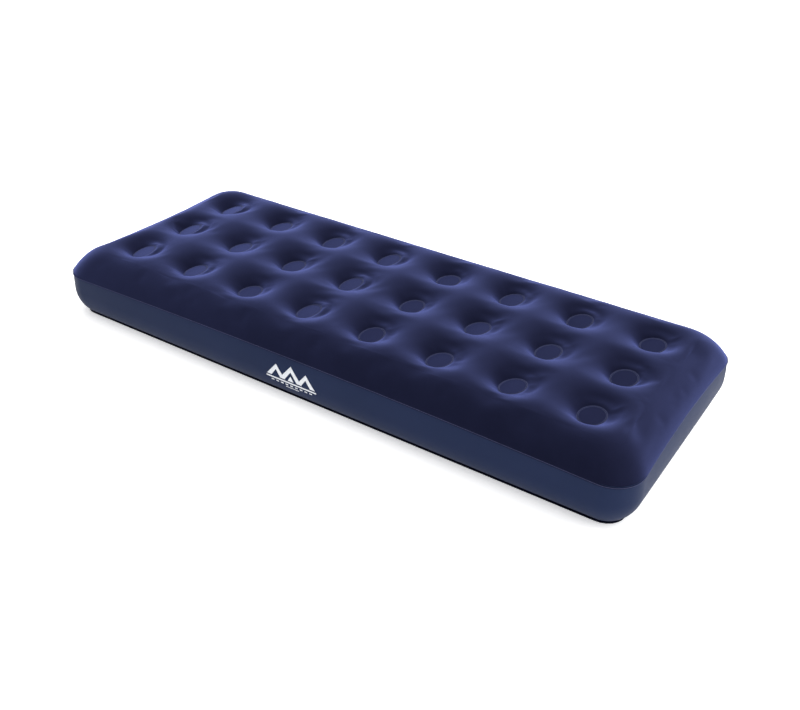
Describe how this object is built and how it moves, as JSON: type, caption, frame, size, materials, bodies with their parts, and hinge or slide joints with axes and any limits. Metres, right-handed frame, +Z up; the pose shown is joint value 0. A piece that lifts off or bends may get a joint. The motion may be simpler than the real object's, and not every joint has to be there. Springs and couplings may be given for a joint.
{
  "type": "air mattress",
  "caption": "Single-size inflatable air bed with a flocked, dimpled coil-beam top, smooth vinyl side band and a screw-in inflation valve at one end.",
  "frame": {"origin": "centre of the bed's underside, on the floor", "axes": "+X along the bed's length with the valve at the -X end, +Y across it, +Z up"},
  "size_m": [1.8642, 0.76, 0.205],
  "materials": {
    "flocked_vinyl": "navy velvet flock on vinyl, matte with a soft bloom",
    "band_vinyl": "navy soft vinyl, satin",
    "base_vinyl": "navy soft vinyl, fine matt emboss",
    "coil_vinyl": "plain vinyl, satin",
    "valve_vinyl": "moulded soft vinyl, satin",
    "gasket_rubber": "matt",
    "valve_plastic": "moulded black plastic, fine texture",
    "cap_plastic": "moulded black plastic, fine texture",
    "flap_plastic": "soft milky plastic"
  },
  "bodies": {
    "mattress": {"top_sheet": "flocked_vinyl", "side_band": "band_vinyl", "base_sheet": "base_vinyl", "coil_beam_r1c1": "coil_vinyl", "coil_beam_r1c2": "coil_vinyl", "coil_beam_r1c3": "coil_vinyl", "coil_beam_r1c4": "coil_vinyl", "coil_beam_r1c5": "coil_vinyl", "coil_beam_r1c6": "coil_vinyl", "coil_beam_r1c7": "coil_vinyl", "coil_beam_r1c8": "coil_vinyl", "coil_beam_r2c1": "coil_vinyl", "coil_beam_r2c2": "coil_vinyl", "coil_beam_r2c3": "coil_vinyl", "coil_beam_r2c4": "coil_vinyl", "coil_beam_r2c5": "coil_vinyl", "coil_beam_r2c6": "coil_vinyl", "coil_beam_r2c7": "coil_vinyl", "coil_beam_r2c8": "coil_vinyl", "coil_beam_r3c1": "coil_vinyl", "coil_beam_r3c2": "coil_vinyl", "coil_beam_r3c3": "coil_vinyl", "coil_beam_r3c4": "coil_vinyl", "coil_beam_r3c5": "coil_vinyl", "coil_beam_r3c6": "coil_vinyl", "coil_beam_r3c7": "coil_vinyl", "coil_beam_r3c8": "coil_vinyl", "valve_base": "valve_vinyl"},
    "gasket": {"stem_gasket": "gasket_rubber"},
    "stem": {"valve_stem": "valve_plastic", "cap_pin": "valve_plastic", "flap_pin": "valve_plastic"},
    "cap": {"inflation_cap": "cap_plastic"},
    "flap": {"check_flap": "flap_plastic"}
  },
  "joints": [
    {"name": "stem_rise", "type": "slide", "parent": "mattress", "child": "gasket", "axis": [-0.9742, 0, -0.2256], "range_m": [0, 0.0061]},
    {"name": "stem_turn", "type": "hinge", "parent": "gasket", "child": "stem", "pos_m": [-0.92099, 0.17, 0.058], "axis": [-0.9742, 0, -0.2256], "range_deg": [0, 540]},
    {"name": "cap_swing", "type": "hinge", "parent": "stem", "child": "cap", "pos_m": [-0.93529, 0.17, 0.07368], "axis": [0, 1, 0], "range_deg": [0, 120]},
    {"name": "flap_swing", "type": "hinge", "parent": "stem", "child": "flap", "pos_m": [-0.91892, 0.17, 0.07346], "axis": [0, -1, 0], "range_deg": [0, 60]}
  ],
  "couplings": [
    {"joint": "stem_rise", "follows": "stem_turn", "m_per_rad": 0.00063662}
  ]
}
